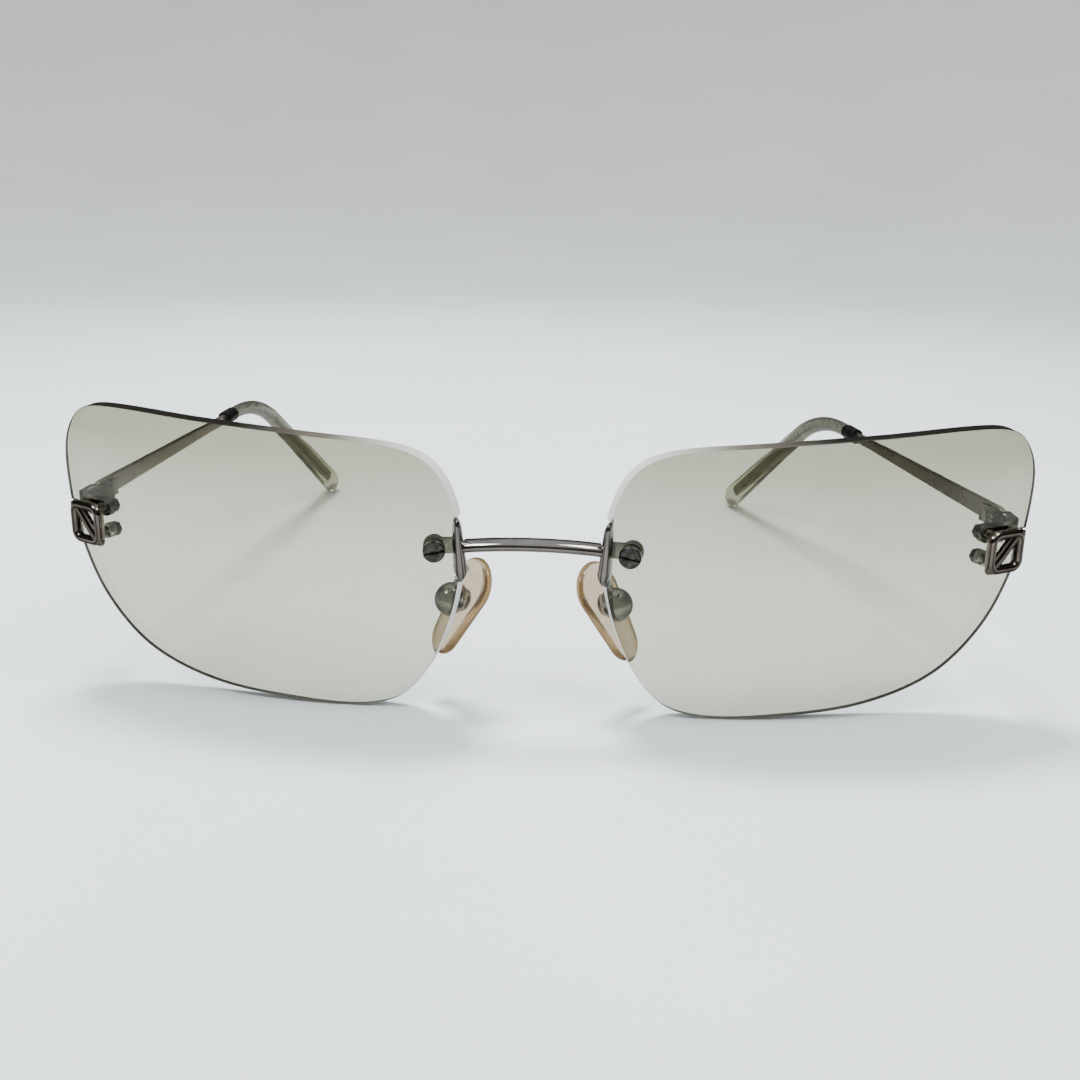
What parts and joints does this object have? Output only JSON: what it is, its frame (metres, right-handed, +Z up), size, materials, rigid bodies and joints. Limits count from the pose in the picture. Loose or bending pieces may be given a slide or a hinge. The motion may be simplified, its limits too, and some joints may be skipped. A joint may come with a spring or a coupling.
{
  "type": "rimless eyeglasses",
  "caption": "Rimless sunglasses with tinted drilled lenses, a slim metal bridge, rocking nose pads, metal temples that fold on hinges, and clear curved temple tips.",
  "frame": {"origin": "under the middle of the bounding box, on the plane that the lens edges and temple tips stand on", "axes": "+Z up, -Y the way the wearer looks, +X towards the wearer's left temple"},
  "size_m": [0.1442, 0.13, 0.0431],
  "materials": {
    "lens": "polished, tinted",
    "polished_metal": "polished",
    "temple_metal": "polished",
    "dark_screw": "dark plated",
    "small_screw": "satin",
    "nut": "satin",
    "washer": "clear",
    "stud": "satin",
    "ornament": "dark polished",
    "clear_sleeve": "clear",
    "pad": "clear, slightly amber",
    "black_collar": "gloss black",
    "clear_tip": "clear, slightly olive"
  },
  "bodies": {
    "front": {"bridge_bar": "polished_metal", "lens_left": "lens", "lens_right": "lens", "bridge_claw_left": "polished_metal", "bridge_claw_right": "polished_metal", "bridge_screw_left": "dark_screw", "bridge_screw_right": "dark_screw", "screw_sleeve_left": "clear_sleeve", "screw_sleeve_right": "clear_sleeve", "screw_washers_left": "washer", "screw_washers_right": "washer", "bridge_nut_left": "nut", "bridge_nut_right": "nut", "pad_arm_left": "polished_metal", "pad_arm_right": "polished_metal", "pad_box_left": "polished_metal", "pad_box_right": "polished_metal", "pad_screw_left": "small_screw", "pad_screw_right": "small_screw", "ornament_left": "ornament", "ornament_right": "ornament", "post_sleeves_left": "clear_sleeve", "post_sleeves_right": "clear_sleeve", "post_washers_left": "washer", "post_washers_right": "washer", "post_nuts_left": "nut", "post_nuts_right": "nut", "endpiece_left": "polished_metal", "endpiece_right": "polished_metal", "hinge_front_left": "polished_metal", "hinge_front_right": "polished_metal", "hinge_screw_left": "small_screw", "hinge_screw_right": "small_screw"},
    "left_temple": {"hinge_rear_left": "polished_metal", "temple_left": "temple_metal", "ferrule_left": "black_collar", "temple_tip_left": "clear_tip"},
    "left_pad": {"pad_stud_left": "stud", "nose_pad_left": "pad"},
    "right_temple": {"hinge_rear_right": "polished_metal", "temple_right": "temple_metal", "ferrule_right": "black_collar", "temple_tip_right": "clear_tip"},
    "right_pad": {"pad_stud_right": "stud", "nose_pad_right": "pad"}
  },
  "joints": [
    {"name": "left_temple_fold", "type": "hinge", "parent": "front", "child": "left_temple", "pos_m": [0.068, -0.044, 0.0274], "axis": [0, 0, 1], "range_deg": [-10, 76.5]},
    {"name": "right_temple_fold", "type": "hinge", "parent": "front", "child": "right_temple", "pos_m": [-0.068, -0.044, 0.0274], "axis": [0, 0, -1], "range_deg": [0, 81.5]},
    {"name": "left_pad_rock", "type": "hinge", "parent": "front", "child": "left_pad", "pos_m": [0.0121, -0.0581, 0.0168], "axis": [0.5111, 0.8192, 0.2604], "range_deg": [-10, 10]},
    {"name": "right_pad_rock", "type": "hinge", "parent": "front", "child": "right_pad", "pos_m": [-0.0121, -0.0581, 0.0168], "axis": [0.5111, -0.8192, -0.2604], "range_deg": [-10, 10]}
  ]
}
